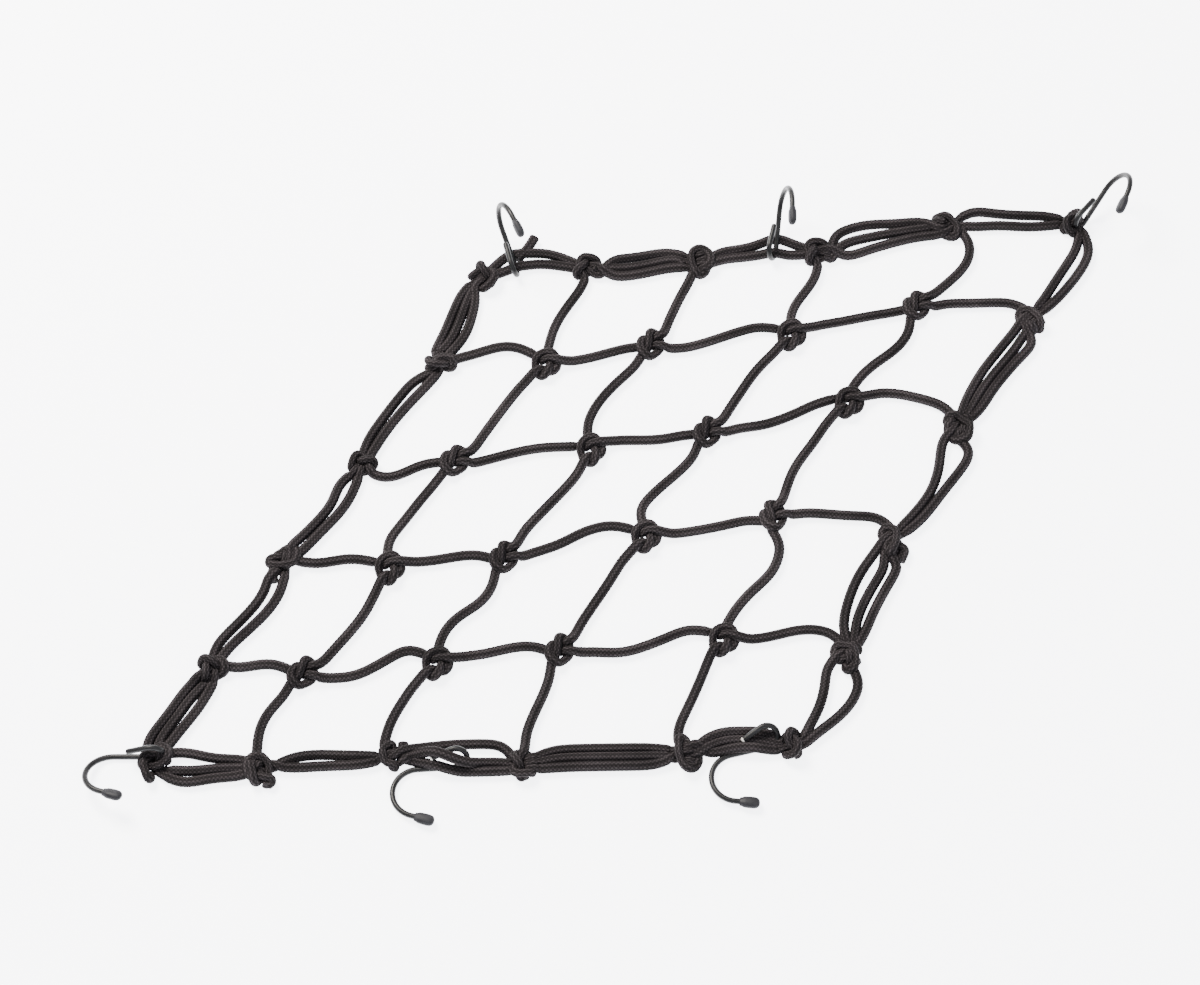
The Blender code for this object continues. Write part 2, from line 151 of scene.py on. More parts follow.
# Hooks: the knot beside the eye, the eye's place from that knot and its height; then
# degrees: heading of the shank, its rise, roll of the jaw and of the eye about the shank
HOOKS = (
    # name, row, column, x, y, z, heading, rise, jaw, eye
    ("far_left", 0, 0, 19.5, 11, 2.4, 113, 30, 97, 71),
    ("far_middle", 0, 3, -25, 4, 2.4, 84, 30, 105, 71),
    ("far_right", 0, 5, 8, 3, 2.4, 52, 30, 128, 80),
    ("near_left", 5, 2, 36, -4, 1.7, 184, 0, 4, 120),
    ("near_right", 5, 5, -12.5, 0, 1.7, 194, 0, 4, 135),
    ("left", 5, 0, -3, 7, 1.7, 180, 0, 25, 90),
)
WIRE_RADIUS = 1.4
COATED_RADIUS = 1.6  # with its thick dip of paint
EYE_RADIUS = 6.2
EYE_SWEEP = 205.0    # degrees
EYE_LEG = 11.0       # straight wire from the eye to the cut end
SHANK = 21.0         # straight wire from the eye to the jaw
JAW_RADIUS = 14.0
JAW_SWEEP = 160.0    # degrees
JAW_LEG = 2.0        # straight wire from the jaw to the tip
TIP_LENGTH = 11.0
TIP_WIDTH = 6.6
TIP_THICKNESS = 4.6
TIP_GAP = 0.3        # from the solid wire's end to the tip
INTO_TIP = 1.0       # that the drawn wire goes on, into the tip


# ---- centre lines
STRAND_POINTS = 90  # before they are spread evenly
END_BOW = 0.5       # of the nearest bow, at a strand's ends
MOST_END_BOW = 3.0
END_RIDE = 0.8      # of a strand's height, at its outer stations
EYE_POINTS = 22     # of the wire round its eye
JAW_POINTS = 34     # of the wire round its jaw


def knot_place(row, column):
    """Middle of a knot on the surface, in mm."""
    shift_x, shift_y = KNOT_SHIFTS[row][column]
    return np.array((FIRST_KNOT[0] + column * ACROSS[0] + row * ALONG[0] + shift_x,
                     FIRST_KNOT[1] + column * ACROSS[1] + row * ALONG[1] + shift_y, 0.0))


def smooth_values(values, at):
    """Cubic through the values at BOW_STATIONS, with slopes from the neighbours."""
    places = np.array(BOW_STATIONS)
    values = np.array(values, float)
    last = len(places) - 1
    low = np.maximum(np.arange(last + 1) - 1, 0)
    high = np.minimum(np.arange(last + 1) + 1, last)
    slopes = (values[high] - values[low]) / (places[high] - places[low])
    index = np.clip(np.searchsorted(places, at, side="right") - 1, 0, last - 1)
    span = places[index + 1] - places[index]
    t = (at - places[index]) / span
    return (values[index] * (2 * t**3 - 3 * t**2 + 1) + values[index + 1] * (3 * t**2 - 2 * t**3)
            + span * (slopes[index] * (t**3 - 2 * t**2 + t) + slopes[index + 1] * (t**3 - t**2)))


def unit(vector):
    return vector / np.linalg.norm(vector)


def along_line(points, step=POINT_STEP, count=None):
    """The same line with points spread evenly along it."""
    lengths = np.linalg.norm(np.diff(points, axis=0), axis=1)
    places = np.concatenate([[0.0], np.cumsum(lengths)])
    count = count or int(round(places[-1] / step)) + 1
    even = np.linspace(0.0, places[-1], count)
    return np.stack([np.interp(even, places, points[:, axis]) for axis in range(3)], 1)


def strand_line(start, end, ride, bows):
    """Centre line of a strand between two knots, lying on the surface or on its neighbours."""
    at = np.linspace(0.0, 1.0, STRAND_POINTS)
    chord = end - start
    side = unit(np.array((-chord[1], chord[0], 0.0)))
    first, last = np.clip(END_BOW * np.array((bows[0], bows[-1])), -MOST_END_BOW, MOST_END_BOW)
    offsets = smooth_values((first, *bows, last), at)
    line = start + at[:, None] * chord + offsets[:, None] * side
    rides = ride if isinstance(ride, tuple) else (END_RIDE * ride, ride, ride, END_RIDE * ride)
    line[:, 2] = CORD_RADIUS + smooth_values((0.0, *rides, 0.0), at)
    return along_line(line)


def hook_frame(heading, rise):
    """Shank, level and upward directions of a hook."""
    turn, climb = math.radians(heading), math.radians(rise)
    shank = np.array((math.cos(turn) * math.cos(climb), math.sin(turn) * math.cos(climb),
                      math.sin(climb)))
    level = np.array((-math.sin(turn), math.cos(turn), 0.0))
    return shank, level, np.cross(shank, level)


def hook_line(hook):
    """Centre line of the wire from its cut end, the way out of its jaw and the jaw's side."""
    _, row, column, x, y, z, heading, rise, jaw, eye = hook
    foot = knot_place(row, column) + (x, y, z)
    shank, level, upward = hook_frame(heading, rise)
    jaw_way, eye_way = (level * math.cos(math.radians(roll)) + upward * math.sin(math.radians(roll))
                        for roll in (jaw, eye))

    def arc(middle_way, radius, angle, start):
        return (start + shank * radius * np.sin(angle)[:, None]
                + middle_way * radius * (1 - np.cos(angle))[:, None])

    sweep = math.radians(EYE_SWEEP)
    eye_arc = arc(eye_way, EYE_RADIUS, -np.linspace(sweep, 0, EYE_POINTS), foot)
    leg_way = -shank * math.cos(sweep) + eye_way * math.sin(sweep)
    leg = [eye_arc[0] + leg_way * length for length in (EYE_LEG, EYE_LEG * 0.5)]
    bend = math.radians(JAW_SWEEP)
    jaw_arc = arc(jaw_way, JAW_RADIUS, np.linspace(0, bend, JAW_POINTS), foot + shank * SHANK)
    way_out = shank * math.cos(bend) + jaw_way * math.sin(bend)
    points = np.vstack([leg, eye_arc, [foot + shank * SHANK * 0.5], jaw_arc,
                        [jaw_arc[-1] + way_out * JAW_LEG]])
    return points, way_out, jaw_way


# ---- settling of cords
STRETCH = 0.07      # at which a cord that is pulled tight stops shortening
STIFFNESS = 0.3     # of a kink that one step takes out
CALM = 0.25         # share of the steps, after the pulling
SPACING_PASSES = 3  # in each step
LOOK_STEPS = 6      # from one look for cords that lie close to the next
CLOSE = 1.5         # contact distances
PUSH = 0.7          # of an overlap that one step takes away
CROWDING = 0.4      # holds back a point that is pressed from many sides
TINY = 1e-9         # keeps a length off nought

# A cord's points and contact radii, how many points are held at each end, its least length
Cord = namedtuple("Cord", "points radii first last least", defaults=(2, 2, 0.0))


def settle(cords, steps, drop, shrink=1.0):
    """Pulls cords tight and pushes them apart where they press, on the surface below.

    While steps run, a cord shortens by shrink until it is taut or has its least length, sinks
    by drop, and its points stay a diameter from others'.
    """
    place = np.vstack([cord.points for cord in cords])
    radius = np.concatenate([cord.radii for cord in cords])
    sizes = np.array([len(cord.points) for cord in cords])
    starts = np.concatenate([[0], np.cumsum(sizes)[:-1]])
    owner = np.repeat(np.arange(len(cords)), sizes)
    free = np.ones(len(place))
    runs = list(zip(starts, starts + sizes))
    for cord, (start, end) in zip(cords, runs):
        free[start:start + cord.first] = 0.0
        free[end - cord.last:end] = 0.0
    links = np.concatenate([np.arange(start, end - 1) for start, end in runs])
    link_owner = np.repeat(np.arange(len(cords)), sizes - 1)
    parity = np.concatenate([np.arange(n - 1) % 2 for n in sizes])
    inner = np.concatenate([np.arange(start + 2, end - 2) for start, end in runs])

    def spacing():
        spans = np.linalg.norm(place[links + 1] - place[links], axis=1)
        return np.bincount(link_owner, spans) / (sizes - 1)

    rest = spacing()
    least = np.array([cord.least for cord in cords]) / (sizes - 1)
    first, second = np.triu_indices(len(place), 1)
    movable = free[first] + free[second] > 0
    first, second = first[movable], second[movable]
    clear = radius[first] + radius[second]
    same = owner[first] == owner[second]
    for step in range(steps):
        # bending: each point goes part of the way to a smooth line
        even = (-place[inner - 2] + 4 * place[inner - 1] - 6 * place[inner]
                + 4 * place[inner + 1] - place[inner + 2]) / 16
        place[inner] += STIFFNESS * even * free[inner, None]
        if shrink < 1.0 and step < steps * (1 - CALM):
            slack = spacing() < rest * (1 + STRETCH)
            rest = np.where(slack & (rest > least), rest * shrink, rest)
        # length: every second link at a time is brought to its length
        for _ in range(SPACING_PASSES):
            for odd in (0, 1):
                low = links[parity == odd]
                goal = rest[link_owner[parity == odd]]
                gap = place[low + 1] - place[low]
                length = np.linalg.norm(gap, axis=1) + TINY
                give = free[low] + free[low + 1]
                pull = np.where(give > 0, (length - goal) / np.maximum(give, TINY), 0.0)
                move = (pull / length)[:, None] * gap
                place[low] += move * free[low, None]
                place[low + 1] -= move * free[low + 1, None]
        # contact: points that overlap are pushed apart
        if step % LOOK_STEPS == 0:
            away = place[second] - place[first]
            apart = np.einsum("ij,ij->i", away, away) < (CLOSE * clear) ** 2
            apart &= ~same | ((second - first) * rest[owner[first]] > CLOSE * clear)
            one, two, reach = first[apart], second[apart], clear[apart]
        away = place[two] - place[one]
        length = np.linalg.norm(away, axis=1) + TINY
        pressed = np.maximum(0.0, reach - length)
        push = (PUSH * pressed / (free[one] + free[two]) / length)[:, None] * away
        total = np.zeros_like(place)
        for axis in range(3):
            total[:, axis] = (np.bincount(two, push[:, axis] * free[two], len(place))
                              - np.bincount(one, push[:, axis] * free[one], len(place)))
        touches = sum(np.bincount(ends, pressed > 0, len(place)) for ends in (one, two))
        place += total / np.maximum(1.0, CROWDING * touches)[:, None]
        place[:, 2] -= drop * free
        place[:, 2] = np.where(free > 0, np.maximum(place[:, 2], radius), place[:, 2])
    return [place[start:end] for start, end in runs]


SLACK_END = 2.0      # of a cord at a held end, as thick as slack cord
TIGHTENS_OVER = 9.0  # from there to where the knot has drawn it thin


def contact_radii(count, length, thin, slack_last=True):
    """Contact radius along a cord that is slack at its held ends and thin in the knot."""
    depth = np.linspace(0.0, length, count)
    if slack_last:
        depth = np.minimum(depth, length - depth)
    share = np.clip((depth - SLACK_END) / TIGHTENS_OVER, 0.0, 1.0)
    return CORD_RADIUS + (thin - CORD_RADIUS) * share * share * (3 - 2 * share)


# ---- knots
LOOP_POINTS = 140
LOOP_MOUTH = 0.6         # radians left open at either end of the loop
LOOP_LEAN = 0.3          # of the loop outwards, in loop sizes
LOOP_DEPTH = 1.2         # from its plane to its crossings, in loop sizes
LOOP_LIFT = 3.2          # of its middle over the surface, in loop sizes
INNER_LOOP = 4.2         # size of the loose loop round one cord
BORDER_LOOP = 5.0        # the same round a bundle
BUNDLE_SPREAD = 1.7      # from the loop's middle line to a bundle's strands
STRAIGHT = 10.0          # of a strand on either side of the loop's middle
ASIDE = (0.3, 0.2, 1.0)  # any way but straight through a loop
TIED_POINTS = 120
TIED_LENGTH = 95.0       # of the cord that ties a knot
THROUGH_POINTS = 46      # of a strand that runs through, a millimetre each
STOPPED_POINTS = 28      # of a strand that stops inside
TIE_STEPS = 900
TIE_SHRINK = 0.9985
TIE_DROP = 0.02


def overhand(entry, leave, hand, roll, size):
    """Loose overhand knot from entry to leave, its middle and the way through its loop."""
    turn = np.linspace(-math.pi + LOOP_MOUTH, math.pi - LOOP_MOUTH, LOOP_POINTS)
    along = np.sin(turn) + 2 * np.sin(2 * turn)
    outwards = np.cos(turn) - 2 * np.cos(2 * turn) + LOOP_LEAN
    rise = -LOOP_DEPTH * hand * np.sin(3 * turn)
    axis = unit((entry - leave) * (1, 1, 0))
    side = np.array((axis[1], -axis[0], 0.0))
    up = np.array((0.0, 0.0, 1.0))
    angle = math.radians(roll)
    outward_way = up * math.cos(angle) + side * math.sin(angle)
    through = side * math.cos(angle) - up * math.sin(angle)
    middle = up * size * LOOP_LIFT
    line = middle + size * (along[:, None] * axis + outwards[:, None] * outward_way
                            + rise[:, None] * through)
    return line, middle, through


def tie(middle, tied, through, hand, roll):
    """Settled centre lines of a knot: the tied cord and the strands that run through it.

    tied is the held points into the knot and out of it, in their order along the cord; through
    is a list of the same, with None for an end that stops inside.
    """
    size, tight, thin, spread = BORDER_LOOP, BORDER_KNOT_CONTACT, BUNDLE_CONTACT, BUNDLE_SPREAD
    if len(through) == 1:
        size, tight, thin, spread = INNER_LOOP, KNOT_CONTACT, KNOT_CONTACT, 0.0
    entry, leave = tied[0] - middle, tied[1] - middle
    loop, centre, way = overhand(entry[-1], leave[0], hand, roll, size)
    line = along_line(np.vstack([entry, loop, leave]), count=TIED_POINTS)
    cords = [Cord(line, contact_radii(TIED_POINTS, TIED_LENGTH, tight))]
    across = unit(np.cross(way, ASIDE))
    for index, (before, after) in enumerate(through):
        turn = math.tau * index / len(through)
        offset = spread * (across * math.cos(turn) + np.cross(way, across) * math.sin(turn))
        if before is None:
            before, after = after[::-1], None
        before = before - middle
        ahead = -way if np.dot(way, before[-1]) > 0 else way
        parts = [before, [centre - ahead * STRAIGHT + offset, centre + offset]]
        if after is None:
            parts += [[centre + ahead * END_INSIDE + offset]]
            count = STOPPED_POINTS
            held = {"last": 0, "least": np.linalg.norm(before[0]) + END_INSIDE}
        else:
            parts += [[centre + ahead * STRAIGHT + offset], after - middle]
            count, held = THROUGH_POINTS, {}
        radii = contact_radii(count, count, thin, slack_last=after is not None)
        cords.append(Cord(along_line(np.vstack(parts), count=count), radii, **held))
    return [line + middle for line in settle(cords, TIE_STEPS, TIE_DROP, TIE_SHRINK)]


def tail_points(middle, offset):
    """Held points of a cut tail, from its end towards the knot's middle."""
    end = middle + offset + (0.0, 0.0, KNOT_CONTACT)
    way = unit(-offset * (1, 1, 0))
    return np.array([end + way * step for step in TAIL_STEPS])


def pair_up(before, after):
    """Strands that run on through a knot, and the ones that stop inside it."""
    few, many = sorted((before, after), key=len)
    partners = (0, 2, 1) if (len(few), len(many)) == (2, 3) else range(len(many))
    pairs = []
    for index, partner in enumerate(partners):
        one = few[index] if index < len(few) else None
        pairs.append((one, many[partner]) if few is before else (many[partner], one))
    return pairs


# ---- the whole net
BUNDLE_START = 7.0  # from a knot's middle to a bundle's settled strands
BUNDLE_STEPS = 160
BUNDLE_DROP = 0.03
WIRE_NEARBY = 60.0  # from a bundle's middle to a wire that may touch it


def knots_of(kind, number, places):
    """The knots, by row and column, at places along a row or a column of the net."""
    return [(number, place) if kind == "row" else (place, number) for place in places]


def border_ends(side, first):
    """The knots at the two ends of a border mesh."""
    kind = "row" if side in ("far", "near") else "column"
    return knots_of(kind, 0 if side in ("far", "left") else MESHES, (first, first + 1))


def cut_at_portals(line, knots):
    """The strand between its knots' portals, each with the points that the knot holds."""
    start, end = (knot_place(*knot) for knot in knots)
    low = np.argmax(np.linalg.norm((line - start)[:, :2], axis=1) > PORTAL)
    high = len(line) - np.argmax(np.linalg.norm((line[::-1] - end)[:, :2], axis=1) > PORTAL)
    return line[low:high]


def settle_bundle(side, first, wires):
    """Strands of one border mesh side by side, clear of each other and of any hook's wire."""
    knots = border_ends(side, first)
    start, end = (knot_place(*knot) for knot in knots)
    cords = []
    for ride, bows in BORDER_BOWS[side][first]:
        line = strand_line(start, end, ride, bows)
        inside = np.minimum(np.linalg.norm((line - start)[:, :2], axis=1),
                            np.linalg.norm((line - end)[:, :2], axis=1))
        line = line[inside > BUNDLE_START]
        # slack along its middle, and drawn together towards the knots
        radii = contact_radii(len(line), len(line) * POINT_STEP, KNOT_CONTACT)
        cords.append(Cord(line, KNOT_CONTACT + CORD_RADIUS - radii))
    strands = len(cords)
    for wire in wires:
        if np.linalg.norm(wire - (start + end) / 2, axis=1).min() < WIRE_NEARBY:
            cords.append(Cord(wire, np.full(len(wire), WIRE_RADIUS), first=len(wire), last=0))
    settled = settle(cords, BUNDLE_STEPS, BUNDLE_DROP)[:strands]
    return [cut_at_portals(line, knots) for line in settled]


def lateral_order(arms, middle, way):
    """Strands at a knot, from one side of their bundle to the other."""
    side = np.array((-way[1], way[0], 0.0))
    return sorted(arms, key=lambda arm: np.dot(arm[2][0] - middle, side))


def mesh_arm(mesh, row, column):
    """The mesh strand at a border knot, from the knot outwards, or None at a corner."""
    for kind, number, place in (("row", row, column), ("column", column, row)):
        if 0 < number < MESHES:
            return mesh[kind, number, 0] if place == 0 else mesh[kind, number, MESHES - 1][::-1]
    return None


def border_knot(border, mesh, row, column):
    """Held points of the cord that ties a border knot and of its strands, and their pairs."""
    middle = knot_place(row, column)
    arms = {}
    for key, line in border.items():
        for end, knot in enumerate(border_ends(*key[:2])):
            if knot == (row, column):
                arm = (key, end, line if end == 0 else line[::-1])
                arms.setdefault(key[:2], []).append(arm)
    before, after = (arms[side] for side in sorted(arms, key=str))
    way = unit((np.mean([arm[2][0] for arm in after], axis=0)
                - np.mean([arm[2][0] for arm in before], axis=0)) * (1, 1, 0))
    pairs = pair_up(lateral_order(before, middle, way), lateral_order(after, middle, way))
    through = [(None if one is None else one[2][:PINNED][::-1],
                None if two is None else two[2][:PINNED]) for one, two in pairs]
    inward = mesh_arm(mesh, row, column)
    if inward is None:
        aside = np.array((-way[1], way[0], 0.0))
        tied = (tail_points(middle, aside * TUCKED), tail_points(middle, aside * -TUCKED)[::-1])
    else:
        tail = unit((middle - inward[0]) * (1, 1, 0)) * TUCKED
        if (row, column) in TAILS:
            tail = np.array((*TAILS[row, column], 0.0))
        tied = (inward[:PINNED][::-1], tail_points(middle, tail)[::-1])
    return tied, through, pairs


def build_net():
    """Settled lines: border strands, mesh cords, joints, and the cords that tie border knots.

    A joint is the line through the knot at a border strand's end, and the strand beyond it.
    """
    wires = [along_line(hook_line(hook)[0], WIRE_STEP) for hook in HOOKS]
    border = {(side, first, index): line for side in BORDER_BOWS for first in range(MESHES)
              for index, line in enumerate(settle_bundle(side, first, wires))}
    mesh = {}
    for kind, table in (("row", ROW_BOWS), ("column", COLUMN_BOWS)):
        for number, bows_of_line in table.items():
            for first, bows in enumerate(bows_of_line):
                knots = knots_of(kind, number, (first, first + 1))
                line = strand_line(*(knot_place(*knot) for knot in knots), 0, bows)
                mesh[kind, number, first] = cut_at_portals(line, knots)

    joints, ties = {}, {}
    for row in range(MESHES + 1):
        for column in range(MESHES + 1):
            middle = knot_place(row, column)
            if 0 < row < MESHES and 0 < column < MESHES:
                north, south = mesh["column", column, row - 1], mesh["column", column, row]
                west, east = mesh["row", row, column - 1], mesh["row", row, column]
                mesh["column knot", row, column], mesh["row knot", row, column] = tie(
                    middle, (north[-PINNED:], south[:PINNED]), [(west[-PINNED:], east[:PINNED])],
                    *KNOT_TIES[row][column])
                continue
            tied, through, pairs = border_knot(border, mesh, row, column)
            ties[row, column], *lines = tie(middle, tied, through, *KNOT_TIES[row][column])
            for (one, two), (before, _), line in zip(pairs, through, lines):
                if before is None:
                    line = line[::-1]
                if one is not None:
                    joints[one[:2]] = (line, two[:2] if two else None)
                if two is not None:
                    joints[two[:2]] = (line[::-1], one[:2] if one else None)
    return border, mesh, joints, ties


def mesh_cords(mesh, ties, kind):
    """Parts of each mesh cord of a kind, row or column, from border knot to border knot."""
    cords = []
    for number in range(1, MESHES):
        first, *inner, last = knots_of(kind, number, range(MESHES + 1))
        parts = [ties[first][::-1], mesh[kind, number, 0]]
        for place, knot in enumerate(inner, 1):
            parts += [mesh[(f"{kind} knot", *knot)], mesh[kind, number, place]]
        cords.append([*parts, ties[last]])
    return cords


def border_cords(border, joints):
    """Border strands chained through their knots, cut where the first corner hides the cut."""
    left = dict.fromkeys(border)

    def walk(key, end):
        """Parts from the strand's given end onwards, until a cut."""
        parts = []
        while True:
            line, onward = joints[key, end]
            if border_ends(*key[:2])[end] == (0, 0):
                line, onward = line[:len(line) // 2 + 1], None
            parts.append(line)
            if onward is None or onward[0] not in left:
                return parts
            key, entry = onward
            del left[key]
            parts.append(border[key] if entry == 0 else border[key][::-1])
            end = 1 - entry

    cords = []
    while left:
        key = next(iter(left))
        del left[key]
        ahead = walk(key, 1)
        behind = walk(key, 0)
        cords.append([part[::-1] for part in behind[::-1]] + [border[key]] + ahead)
    return cords


def join(parts):
    """One line from parts whose held points lie on each other."""
    line = parts[0]
    for part in parts[1:]:
        line = np.vstack([line[:-PINNED + 1], part])
    return line


# ---- colour and materials
# The real picks are 1.5 mm long; they are drawn coarser, so that they show
PICKS_ROUND = 8         # of the sheath's bobbins each way, round the cord
PICK_LENGTH = 2.2       # mm of cord for one crossing
PICK_SHARP = 0.6        # power that broadens a pick's crest
RELIEF = 0.26           # mm from a gap's floor to a pick's crest
RIBS = 6                # lengthwise folds of the slack sheath over the rubber
RIB_DEPTH = 0.175       # of their crests and troughs about the middle
WEAR = 0.35             # from the darkest to the palest patches
HEIGHT_SHADE = 0.62             # how far the colour follows the height: painted shade in hollows and rib troughs, painted highlight on crests
CORD_GIRTH = math.tau * CORD_RADIUS
PAINTED_GAP_SHADE = "#040404"  # painted shade between picks
MATHS = "ShaderNodeMath"
NOISE = "ShaderNodeTexNoise"
RAMP = "ShaderNodeValToRGB"
PLUS, TIMES, TIMES_PLUS = ({"operation": name} for name in ("ADD", "MULTIPLY", "MULTIPLY_ADD"))


def linear(code):
    """Linear colour of an sRGB hex code."""
    channels = (int(code[place:place + 2], 16) / 255 for place in (1, 3, 5))
    return (*(c / 12.92 if c <= 0.04045 else ((c + 0.055) / 1.055) ** 2.4 for c in channels), 1.0)


def connect(tree, node, links):
    """Sets a node's inputs to values, or links them to sockets or to nodes' first outputs."""
    for name, value in dict(links).items():
        if isinstance(value, bpy.types.Node):
            value = value.outputs[0]
        if isinstance(value, bpy.types.NodeSocket):
            tree.links.new(value, node.inputs[name])
        else:
            node.inputs[name].default_value = value


def add_node(tree, kind, settings=(), links=(), stops=()):
    """A node with its settings, its inputs and, for a ramp, its places and hex colours."""
    node = tree.nodes.new(kind)
    for name, value in dict(settings).items():
        setattr(node, name, value)
    connect(tree, node, links)
    for index, (place, code) in enumerate(stops):
        elements = node.color_ramp.elements
        element = elements[index] if index < 2 else elements.new(place)
        element.position = place
        element.color = linear(code)
    return node


def new_material(name, surface):
    """Material with its shader's own values, its tree and its shader."""
    material = bpy.data.materials.new(name)
    material.use_nodes = True
    tree = material.node_tree
    shader = tree.nodes["Principled BSDF"]
    connect(tree, shader, surface)
    return material, tree, shader


def crossings(tree, around, along):
    """Height of a braid: yarns that slant both ways, highest where two of them cross."""
    waves = []
    for slant in ("ADD", "SUBTRACT"):
        wave = add_node(tree, MATHS, {"operation": slant}, {0: around, 1: along})
        wave = add_node(tree, MATHS, TIMES, {0: wave, 1: math.tau})
        for operation in ("SINE", "ABSOLUTE"):
            wave = add_node(tree, MATHS, {"operation": operation}, {0: wave})
        waves.append(wave)
    return add_node(tree, MATHS, TIMES, dict(enumerate(waves)))


def braided_polyester(name, yarn, crest_highlight):
    """Matte polyester braided over elastic: diamond picks, fuzzy crests, painted highlight and
    shade.
    """
    material, tree, shader = new_material(name, {
        "Roughness": 0.85, "Specular IOR Level": 0.1, "IOR": 1.5})
    place = add_node(tree, "ShaderNodeUVMap", {"uv_map": "UVMap"})
    split = add_node(tree, "ShaderNodeSeparateXYZ", links={0: place}).outputs
    around = add_node(tree, MATHS, TIMES, {0: split["X"], 1: PICKS_ROUND / CORD_GIRTH / 2})
    along = add_node(tree, MATHS, TIMES, {0: split["Y"], 1: 0.5 / PICK_LENGTH})
    picks = add_node(tree, MATHS, {"operation": "POWER"},
                     {0: crossings(tree, around, along), 1: PICK_SHARP})
    turned = add_node(tree, MATHS, TIMES, {0: split["X"], 1: math.tau * RIBS / CORD_GIRTH})
    ribs = add_node(tree, MATHS, {"operation": "COSINE"}, {0: turned})
    coordinates = add_node(tree, "ShaderNodeTexCoord").outputs["Object"]
    fuzz = add_node(tree, NOISE, links={
        "Vector": coordinates, "Scale": 1 / (0.9 * MM), "Detail": 3.0, "Roughness": 0.6})
    wear = add_node(tree, NOISE, links={
        "Vector": coordinates, "Scale": 1 / (28 * MM), "Detail": 2.0})
    height = RIB_DEPTH
    for layer, depth in ((fuzz, 0.6), (picks, 0.5), (ribs, RIB_DEPTH)):
        height = add_node(tree, MATHS, TIMES_PLUS, {0: layer, 1: depth, 2: height})
    worn = add_node(tree, MATHS, TIMES_PLUS, {0: wear, 1: WEAR, 2: -WEAR / 2})
    # colour from the height: painted shade low in the braid, painted highlight on its crests and
    # ribs, with random wear patches
    shade_and_wear = add_node(tree, MATHS, TIMES_PLUS, {0: height, 1: HEIGHT_SHADE, 2: worn})
    colour = add_node(tree, RAMP, links={"Fac": shade_and_wear},
                      stops=((0.15, PAINTED_GAP_SHADE), (0.45, yarn), (0.85, crest_highlight)))
    bump = add_node(tree, "ShaderNodeBump", links={
        "Strength": 0.8, "Distance": 0.45 * MM, "Height": height})
    connect(tree, shader, {"Base Color": colour, "Normal": bump})
    return material


def scuffed_coat(name, surface, skin, relief, scuffs, colours, dullness):
    """Thin coat with an uneven skin, and scuffs that change its colour and its gloss."""
    material, tree, shader = new_material(name, surface)
    coordinates = add_node(tree, "ShaderNodeTexCoord").outputs["Object"]
    skin, scuffs = (add_node(tree, NOISE, links={"Vector": coordinates, **pattern})
                    for pattern in (skin, scuffs))
    colour = add_node(tree, RAMP, links={"Fac": scuffs}, stops=colours)
    gloss = add_node(tree, "ShaderNodeMapRange", links={
        "Value": scuffs, "From Min": 0.3, "From Max": 0.75, **dullness})
    bump = add_node(tree, "ShaderNodeBump", links={"Height": skin, **relief})
    connect(tree, shader, {"Base Color": colour, "Roughness": gloss, "Normal": bump})
    return material


def dipped_wire(name):
    """Spring steel wire dipped in black paint: semi-gloss, slightly wavy, rubbed dull in places."""
    return scuffed_coat(
        name, {"Specular IOR Level": 0.2, "IOR": 1.5},
        {"Scale": 1 / (1.6 * MM), "Detail": 2.0}, {"Strength": 0.3, "Distance": 0.12 * MM},
        {"Scale": 1 / (7 * MM), "Detail": 4.0, "Roughness": 0.65},
        ((0.35, "#0e0e0f"), (0.6, "#161617"), (0.78, "#2a2a2c")), {"To Min": 0.3, "To Max": 0.52})


def moulded_vinyl(name):
    """Soft dip-moulded vinyl: dark grey, satin, with a faint orange-peel skin and scuffs."""
    return scuffed_coat(
        name, {"Specular IOR Level": 0.12, "IOR": 1.53},
        {"Scale": 1 / (0.8 * MM), "Detail": 2.0}, {"Strength": 0.35, "Distance": 0.1 * MM},
        {"Scale": 1 / (5 * MM), "Detail": 4.0},
        ((0.3, "#1b1b1e"), (0.6, "#242427"), (0.8, "#323236")), {"To Min": 0.45, "To Max": 0.62})


def sheared_steel_with_glint(name):
    """Torn steel of the wire's end, rough, half metallic; near-white, partly as painted glint."""
    material, tree, shader = new_material(name, {"Metallic": 0.4, "Roughness": 0.4})
    coordinates = add_node(tree, "ShaderNodeTexCoord").outputs["Object"]
    marks = add_node(tree, NOISE, links={
        "Vector": coordinates, "Scale": 1 / (0.4 * MM), "Detail": 3.0})
    # near-white steel: partly the cut end's own pale colour, partly painted glint
    colour = add_node(tree, RAMP, links={"Fac": marks}, stops=((0.3, "#cfcac2"), (0.7, "#f0ece6")))
    connect(tree, shader, {"Base Color": colour})
    return material


# ---- swept pieces
CORD_SIDES = 18
WIRE_SIDES = 16
RING_STEP = 0.6      # between rings of a swept cord
THIN_WITHIN = 5.0    # of a knot's middle, where the cord is drawn thin
THICKENS_OVER = 4.5  # from there to slack cord
FIRM_WITHIN = 8.5    # of a knot's middle, where the line keeps its turns
RELAXES_OVER = 4.0   # from there to where it is smoothed in full
KINK_PASSES = 5      # of smoothing along the whole line
SLACK_PASSES = 160   # of smoothing between knots


